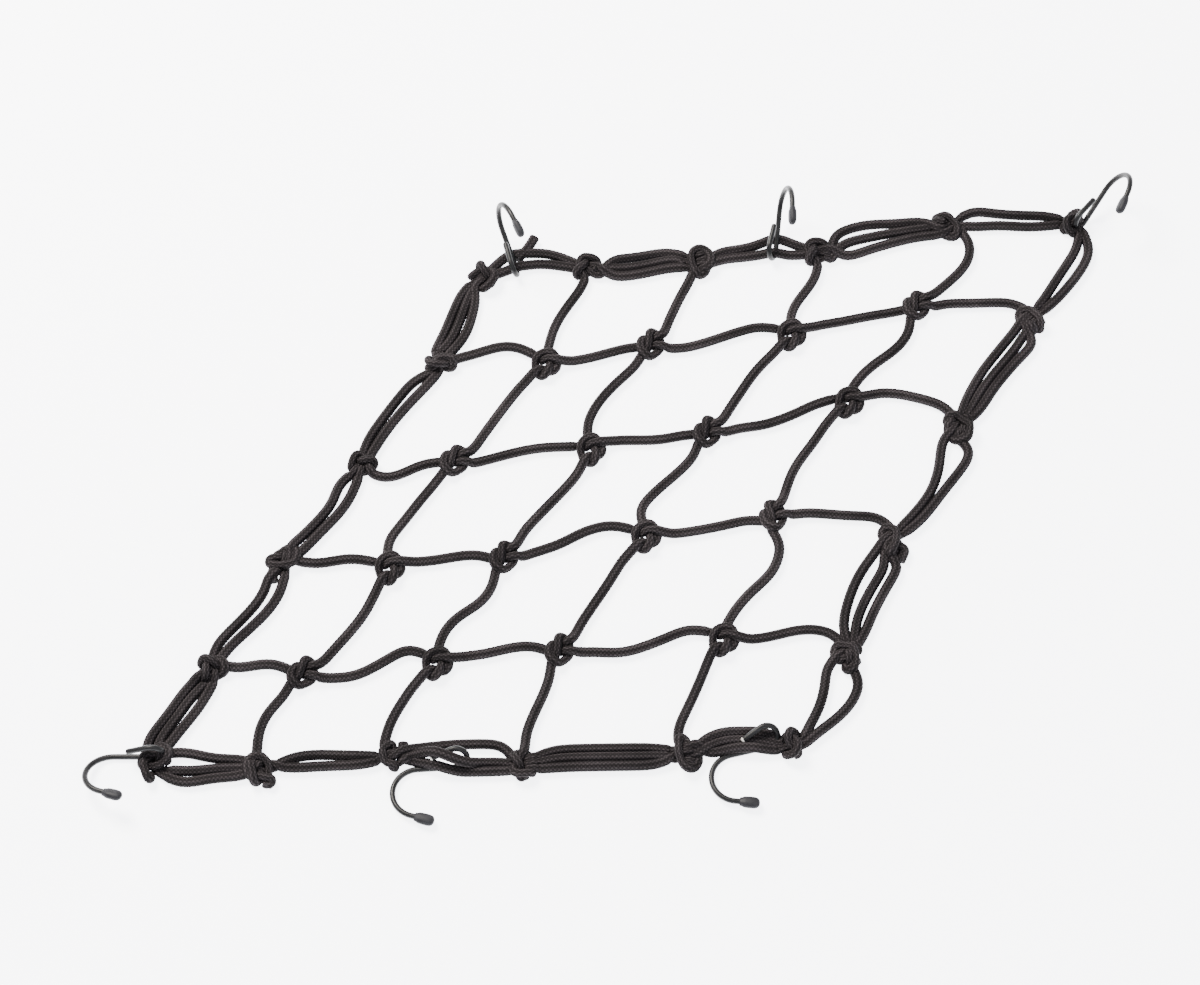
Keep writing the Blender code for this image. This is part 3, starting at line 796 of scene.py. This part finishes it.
def sweep_tree():
    """Tube along every line of a wire mesh, as thick as the line says, with braided relief."""
    tree = bpy.data.node_groups.new("braided_sweep", "GeometryNodeTree")
    face = tree.interface
    for name, kind in (("Geometry", "Geometry"), ("Sides", "Int"), ("Relief", "Float"),
                       ("Picks Round", "Float"), ("Pick Length", "Float"), ("Girth", "Float"),
                       ("Material", "Material")):
        face.new_socket(name, in_out="INPUT", socket_type=f"NodeSocket{kind}")
    face.new_socket("Geometry", in_out="OUTPUT", socket_type="NodeSocketGeometry")
    given = add_node(tree, "NodeGroupInput").outputs
    curve = add_node(tree, "GeometryNodeMeshToCurve", links={"Mesh": given["Geometry"]})
    circle = add_node(tree, "GeometryNodeCurvePrimitiveCircle",
                      links={"Resolution": given["Sides"], "Radius": 1.0})
    spline = add_node(tree, "GeometryNodeSplineParameter").outputs
    travelled, turned = (add_node(tree, "GeometryNodeCaptureAttribute") for _ in range(2))
    for node, name, lines, field in ((travelled, "Travelled", curve, "Length"),
                                     (turned, "Turned", circle, "Factor")):
        node.capture_items.new("FLOAT", name)
        connect(tree, node, {"Geometry": lines, name: spline[field]})
    thickness = add_node(tree, "GeometryNodeInputNamedAttribute", {"data_type": "FLOAT"},
                         {"Name": "thickness"}).outputs["Attribute"]
    tube = add_node(tree, "GeometryNodeCurveToMesh", links={
        "Curve": travelled, "Profile Curve": turned, "Scale": thickness, "Fill Caps": True})

    # how far along and how far round each point lies, and how high the braid stands there
    length = add_node(tree, MATHS, TIMES, {0: travelled.outputs["Travelled"], 1: 1 / MM})
    turn = turned.outputs["Turned"]
    half_round = add_node(tree, MATHS, TIMES, {0: given["Picks Round"], 1: 0.5})
    around = add_node(tree, MATHS, TIMES, {0: turn, 1: half_round})
    half_length = add_node(tree, MATHS, TIMES, {0: length, 1: 0.5})
    along = add_node(tree, MATHS, {"operation": "DIVIDE"},
                     {0: half_length, 1: given["Pick Length"]})
    braid = add_node(tree, MATHS, PLUS, {0: crossings(tree, around, along), 1: -0.5})
    height = add_node(tree, MATHS, TIMES, {0: braid, 1: given["Relief"]})
    normal = add_node(tree, "GeometryNodeInputNormal").outputs["Normal"]
    offset = add_node(tree, "ShaderNodeVectorMath", {"operation": "SCALE"},
                      {0: normal, "Scale": height})
    raised = add_node(tree, "GeometryNodeSetPosition", links={"Geometry": tube, "Offset": offset})

    # unwrapped in millimetres; the last face of a ring ends at a full turn, not at nought
    face_mean = add_node(tree, "GeometryNodeFieldOnDomain",
                         {"data_type": "FLOAT", "domain": "FACE"}, {0: turn})
    fallen = add_node(tree, MATHS, {"operation": "SUBTRACT"}, {0: face_mean, 1: turn})
    wraps = add_node(tree, MATHS, {"operation": "GREATER_THAN"}, {0: fallen, 1: 0.25})
    full_turn = add_node(tree, MATHS, PLUS, {0: turn, 1: wraps})
    around_mm = add_node(tree, MATHS, TIMES, {0: full_turn, 1: given["Girth"]})
    unwrapped = add_node(tree, "ShaderNodeCombineXYZ", links={"X": around_mm, "Y": length})
    stored = add_node(tree, "GeometryNodeStoreNamedAttribute",
                      {"data_type": "FLOAT2", "domain": "CORNER"},
                      {"Geometry": raised, "Name": "UVMap", "Value": unwrapped})
    real = add_node(tree, "GeometryNodeRealizeInstances", links={"Geometry": stored})
    painted = add_node(tree, "GeometryNodeSetMaterial", links={
        "Geometry": real, "Material": given["Material"]})
    add_node(tree, "NodeGroupOutput", links={"Geometry": painted})
    return tree


def link_object(name, data):
    item = bpy.data.objects.new(name, data)
    bpy.context.scene.collection.objects.link(item)
    return item


def sweep(name, lines, tree, sides, relief, radius, material):
    """Mesh object swept along lines, each an array of points with their radii in mm."""
    settings = {"Sides": sides, "Relief": relief * MM, "Picks Round": float(PICKS_ROUND),
                "Pick Length": PICK_LENGTH, "Girth": math.tau * radius, "Material": material}
    points, edges, radii = [], [], []
    for line, thickness in lines:
        first = len(points)
        points.extend((line * MM).tolist())
        radii.extend((thickness * MM).tolist())
        edges.extend((first + step, first + step + 1) for step in range(len(line) - 1))
    data = bpy.data.meshes.new(f"{name}_lines")
    data.from_pydata(points, edges, [])
    data.attributes.new("thickness", "FLOAT", "POINT").data.foreach_set("value", radii)
    guide = link_object(f"{name}_lines", data)
    modifier = guide.modifiers.new("sweep", "NODES")
    modifier.node_group = tree
    for item in tree.interface.items_tree:
        if item.in_out == "INPUT" and item.name in settings:
            modifier[item.identifier] = settings[item.name]
    graph = bpy.context.evaluated_depsgraph_get()
    swept = bpy.data.meshes.new_from_object(guide.evaluated_get(graph))
    guide.modifiers.remove(modifier)
    bpy.data.objects.remove(guide)
    swept.name = name
    swept.polygons.foreach_set("use_smooth", [True] * len(swept.polygons))
    return link_object(name, swept)


def knot_distance(line):
    """Distance of each point from the nearest knot's middle, in plan, and whether it is inner."""
    spots = [(row, column) for row in range(MESHES + 1) for column in range(MESHES + 1)]
    inner = np.array([0 < row < MESHES and 0 < column < MESHES for row, column in spots])
    middles = np.array([knot_place(*spot) for spot in spots])
    away = np.linalg.norm(line[:, None, :2] - middles[None, :, :2], axis=2)
    return away.min(1), inner[away.argmin(1)]


def knot_thickness(line):
    """Radius along a cord: slack between knots, drawn thin inside them."""
    away, inner = knot_distance(line)
    share = np.clip((away - THIN_WITHIN) / THICKENS_OVER, 0.0, 1.0)
    share = share * share * (3 - 2 * share)
    thin = np.where(inner, KNOT_CORD_RADIUS, BORDER_KNOT_CORD_RADIUS)
    return thin + (SHEATH_RADIUS - thin) * share


def finish_line(parts):
    """Even, smooth centre line of a whole cord that clears the surface, and its radii."""
    line = along_line(join(parts), RING_STEP)
    for _ in range(KINK_PASSES):
        line[1:-1] = 0.25 * line[:-2] + 0.5 * line[1:-1] + 0.25 * line[2:]
    ease = np.clip((knot_distance(line)[0] - FIRM_WITHIN) / RELAXES_OVER, 0.0, 1.0)[1:-1, None]
    for _ in range(SLACK_PASSES):
        line[1:-1] += 0.5 * ease * (0.5 * line[:-2] + 0.5 * line[2:] - line[1:-1])
    line = along_line(line, RING_STEP)
    thickness = knot_thickness(line)
    line[:, 2] = np.maximum(line[:, 2], thickness + RELIEF / 2)
    return line, thickness


def split_by_length(lines):
    """Two groups of lines of nearly equal length."""
    groups = ([], [])
    for line in sorted(lines, key=lambda item: -len(item[0])):
        min(groups, key=lambda group: sum(len(item[0]) for item in group)).append(line)
    return groups


def place_piece(piece, node):
    """The piece rides on the one body and stands for a node, whose imported part is hidden."""
    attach(piece, "root")
    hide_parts(node)


def build_cords(tree):
    """The border cord in two pieces, and the mesh cords across and along, each in one."""
    border, mesh, joints, ties = build_net()
    rings = border_cords(border, joints)
    corner, start, end = LOOSE_END
    middle = knot_place(*corner)
    start, end = middle + (*start, CORD_RADIUS), middle + (*end, CORD_RADIUS)
    rings.append([along_line(np.array([start, (start + end) / 2 + LOOSE_BEND, end]))])
    rings += [[ties[row, column]] for row in (0, MESHES) for column in (0, MESHES)]
    halves = split_by_length([finish_line(parts) for parts in rings])
    rows, columns = ([finish_line(parts) for parts in mesh_cords(mesh, ties, kind)]
                     for kind in ("row", "column"))
    border_sheath = braided_polyester("braided polyester sheath, border", "#181516", "#3e393b")
    mesh_sheath = braided_polyester("braided polyester sheath, mesh", "#191617", "#403b3d")
    for name, lines, sheath, node in (
            ("border_cord_a", halves[0], border_sheath, "border_cord"),
            ("border_cord_b", halves[1], border_sheath, "border_cord"),
            ("row_cords", rows, mesh_sheath, "mesh_cord"),
            ("column_cords", columns, mesh_sheath, "mesh_cord")):
        piece = sweep(name, lines, tree, CORD_SIDES, RELIEF, CORD_RADIUS, sheath)
        place_piece(piece, node)


# ---- hooks
# The sheared end's burr: how far it stands beyond the paint, and its share of the radius
BURR = ((1.3, 0.2), (1.15, 0.55), (0.85, 0.8), (0.45, 0.95))
GLINT_BARE_NEAR = 2.6    # bare steel at the near hooks' ends, from the burr's tip; long, to carry a painted glint
BARE_OTHERS = 1.0  # the same at the other hooks, which get no painted glint
# The tip from its collar to its round end: share of its length, share of its full width
TIP_PROFILE = ((0.0, 0.62), (0.02, 0.72), (0.1, 0.76), (0.14, 0.8), (0.2, 0.92), (0.32, 0.97),
               (0.5, 1.0), (0.66, 1.0), (0.78, 0.96), (0.87, 0.86), (0.94, 0.68), (0.985, 0.4),
               (1.0, 0.12))
TIP_SIDES = 28
TIP_FLATS = (0.8, 0.9)  # powers that square its section a little


def tip_mesh(name, seat, way, broad):
    """Flattened vinyl tip: narrow collar over the wire, oval body, round end."""
    thin = unit(np.cross(way, broad))
    points, faces = [], []
    for along, girth in TIP_PROFILE:
        for step in range(TIP_SIDES):
            angle = math.tau * step / TIP_SIDES
            across, height = (math.copysign(abs(wave) ** power, wave)
                              for wave, power in zip((math.cos(angle), math.sin(angle)), TIP_FLATS))
            place = (seat + way * along * TIP_LENGTH + broad * girth * TIP_WIDTH / 2 * across
                     + thin * girth * TIP_THICKNESS / 2 * height)
            points.append(tuple(place * MM))
    for low in range(0, (len(TIP_PROFILE) - 1) * TIP_SIDES, TIP_SIDES):
        high = low + TIP_SIDES
        for step in range(TIP_SIDES):
            after = (step + 1) % TIP_SIDES
            faces.append((low + step, low + after, high + after, high + step))
    faces.append(tuple(range(TIP_SIDES))[::-1])
    faces.append(tuple(range(len(points) - TIP_SIDES, len(points))))
    data = bpy.data.meshes.new(name)
    data.from_pydata(points, [], faces)
    data.polygons.foreach_set("use_smooth", [True] * len(data.polygons))
    return data


def build_hooks(tree):
    """Each hook's dipped wire with its bare end, and the vinyl tip on its jaw."""
    wire_paint = dipped_wire("black dipped spring steel wire")
    bare_steel_and_glint = sheared_steel_with_glint("sheared steel, painted glint")
    vinyl = moulded_vinyl("dark grey dip-moulded vinyl")
    for hook in HOOKS:
        name = hook[0]
        line, way_out, jaw_way = hook_line(hook)
        seat = line[-1] + way_out * TIP_GAP
        beyond = unit(line[0] - line[1])
        burr = [line[0] + beyond * step for step, _ in BURR]
        line = np.vstack([burr, line, [line[-1] + way_out * INTO_TIP]])
        thickness = np.full(len(line), COATED_RADIUS)
        thickness[:len(BURR)] *= [share for _, share in BURR]
        wire = sweep(f"wire_{name}", [(line, thickness)], tree, WIRE_SIDES, 0.0, WIRE_RADIUS,
                     wire_paint)
        wire.data.materials.append(bare_steel_and_glint)
        # the near hooks get a longer pale end, which stands in for a glint
        bare = GLINT_BARE_NEAR if name.startswith("near") else BARE_OTHERS
        for face in wire.data.polygons:
            if (face.center - Vector(line[0] * MM)).length < bare * MM:
                face.material_index = 1
        place_piece(wire, f"hook_{name}")
        broad = unit(jaw_way - way_out * np.dot(jaw_way, way_out))
        tip = link_object(f"vinyl_tip_{name}", tip_mesh(f"vinyl_tip_{name}", seat, way_out, broad))
        tip.data.materials.append(vinyl)
        place_piece(tip, f"tip_{name}")


# ---- setting, in metres
FLOOR_REACH = 8.0
FLOOR_GLOW = 5.0  # of an opal light table, so next to no shadow
SKY_STRENGTH = 1.1
# Lamps: name, place, size, watts, colour
LAMPS = (("key", (-0.9, 0.9, 1.7), 0.9, 150.0, "#fffaf2"),
         ("fill", (0.9, -0.9, 1.8), 1.6, 20.0, "#f2f6ff"))
CAMERA_ELEVATION = 62.0  # degrees above the surface
CAMERA_DISTANCE = 1.8
CAMERA_REACH = 20.0
LENS = 95.6              # mm, on a 36 mm film
LOOK_AT = Vector((-0.0165, 0.0019, 0.0))


def build_setting():
    """Pale lit floor, soft light from the far left, camera at the photograph's angle."""
    data = bpy.data.meshes.new("floor")
    corners = ((-1, -1), (1, -1), (1, 1), (-1, 1))
    data.from_pydata([(FLOOR_REACH * x, FLOOR_REACH * y, 0) for x, y in corners], [], [range(4)])
    floor = link_object("floor", data)
    glass, _, _ = new_material("opal light table", {
        "Roughness": 0.9, "Specular IOR Level": 0.1, "Base Color": linear("#f2f3f6"),
        "Emission Color": linear("#fafbff"), "Emission Strength": FLOOR_GLOW})
    data.materials.append(glass)

    world = bpy.data.worlds.new("studio")
    bpy.context.scene.world = world
    world.use_nodes = True
    connect(world.node_tree, world.node_tree.nodes["Background"],
            {"Color": linear("#f4f6fb"), "Strength": SKY_STRENGTH})

    for name, place, size, power, colour in LAMPS:
        light = bpy.data.lights.new(name, "AREA")
        light.size = size
        light.energy = power
        light.color = linear(colour)[:3]
        lamp = link_object(name, light)
        lamp.location = place
        lamp.rotation_mode = "QUATERNION"
        lamp.rotation_quaternion = (-Vector(place)).to_track_quat("-Z", "Y")

    camera = bpy.data.cameras.new("camera")
    camera.lens = LENS
    camera.sensor_width = 36.0
    camera.clip_end = CAMERA_REACH
    eye = link_object("camera", camera)
    climb = math.radians(CAMERA_ELEVATION)
    eye.location = LOOK_AT + CAMERA_DISTANCE * Vector((0.0, -math.cos(climb), math.sin(climb)))
    eye.rotation_euler = (math.pi / 2 - climb, 0.0, 0.0)
    bpy.context.scene.camera = eye


sweeper = sweep_tree()
build_setting()
build_cords(sweeper)
build_hooks(sweeper)
